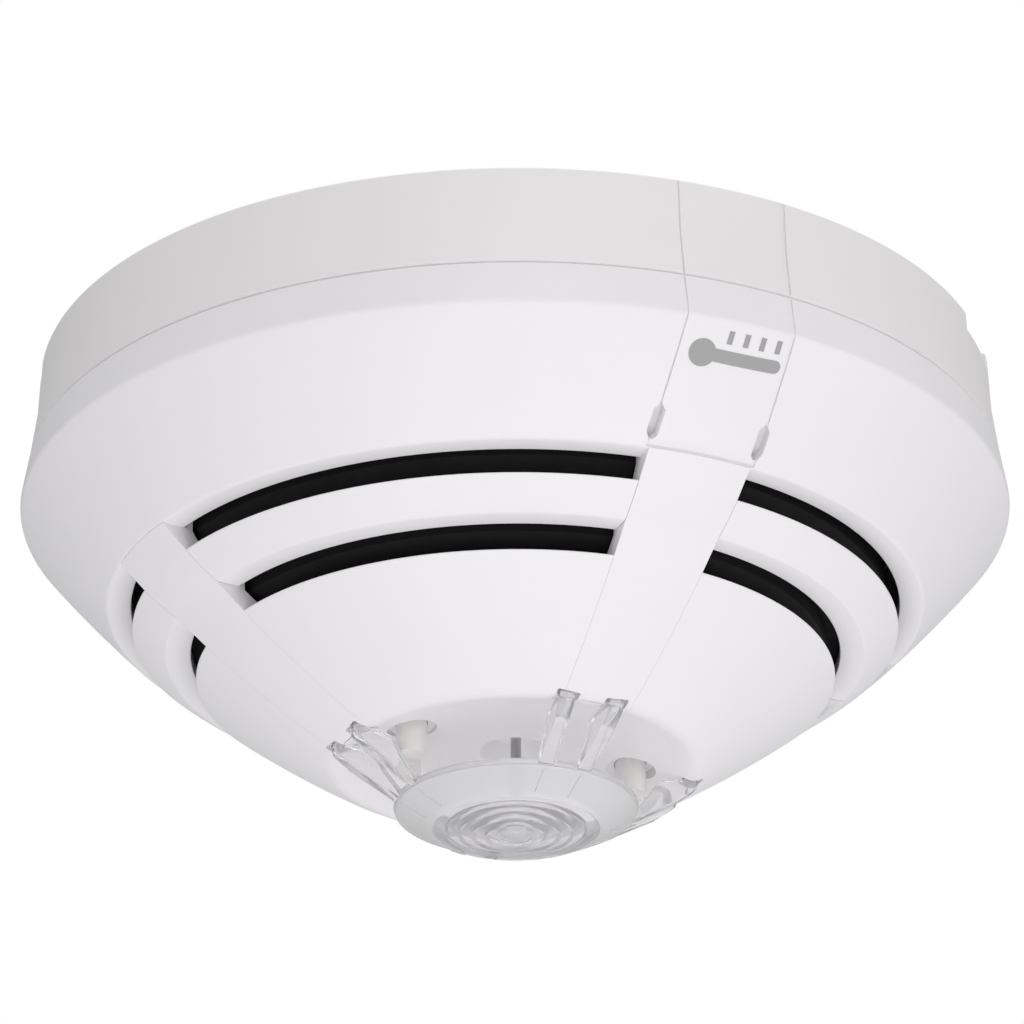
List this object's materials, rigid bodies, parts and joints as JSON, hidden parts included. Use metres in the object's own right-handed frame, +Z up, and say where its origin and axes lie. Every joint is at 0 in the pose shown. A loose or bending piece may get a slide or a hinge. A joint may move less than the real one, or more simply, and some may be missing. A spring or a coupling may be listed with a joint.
{
  "type": "heat detector",
  "caption": "Ceiling point heat detector with a twist-lock head, stepped air slots, a clear light guide cage and a central heat sensor.",
  "frame": {"origin": "centre of the base's fixing pattern on the ceiling plane (Z = 0); the detector hangs below it", "axes": "+Z up into the ceiling along the detector's axis; -Y towards the label rib; X across it, along the two fixing slots"},
  "size_m": [0.1168, 0.1168, 0.058],
  "materials": {
    "base_white": "satin",
    "cover_white": "satin",
    "label_grey": "printed",
    "inner_white": "satin",
    "shield_black": "matt",
    "clear_plastic": "polished, partly frosted",
    "sensor_steel": "polished",
    "zinc_steel": "zinc plated",
    "terminal_brass": "tinned",
    "lever_plastic": "matt",
    "seal_rubber": "matt",
    "board_green": "solder resist",
    "component_black": "satin",
    "led_red": "gloss",
    "capacitor_case": "satin",
    "thermistor_glass": "gloss"
  },
  "bodies": {
    "base": {"base_body": "base_white", "index_tab": "base_white", "terminal_1": "terminal_brass", "terminal_2": "terminal_brass", "terminal_3": "terminal_brass", "terminal_4": "terminal_brass", "terminal_clamps": "zinc_steel", "terminal_screws": "zinc_steel", "lever_pin": "zinc_steel"},
    "lever": {"lock_lever": "lever_plastic"},
    "head": {"chassis": "inner_white", "contact_1": "zinc_steel", "contact_2": "zinc_steel", "contact_3": "zinc_steel", "contact_4": "zinc_steel", "dust_seal": "seal_rubber", "outer_cover": "cover_white", "louvre_ring": "cover_white", "nose_cone": "cover_white", "rib_1": "cover_white", "rib_2": "cover_white", "rib_3": "cover_white", "rib_4": "cover_white", "label_plate": "cover_white", "label_symbol": "label_grey", "air_shield": "shield_black", "sensor_carrier": "inner_white", "light_guide": "clear_plastic", "sensor_sleeve": "sensor_steel", "thermistor": "thermistor_glass", "circuit_board": "board_green", "board_screws": "zinc_steel", "led_1": "led_red", "led_2": "led_red", "led_3": "led_red", "led_4": "led_red", "microcontroller": "component_black", "capacitors": "capacitor_case", "terminal_header": "component_black"}
  },
  "joints": [
    {"name": "head_twist", "type": "hinge", "parent": "base", "child": "head", "pos_m": [0, 0, -0.0095], "axis": [0, 0, -1], "range_deg": [0, 18]},
    {"name": "lock_lever_swing", "type": "hinge", "parent": "base", "child": "lever", "pos_m": [0.015, -0.0489, -0.0065], "axis": [0, 0, 1], "range_deg": [0, 6]}
  ],
  "couplings": [
    {"joint": "lock_lever_swing", "follows": "head_twist", "ratio": 0.33333}
  ]
}
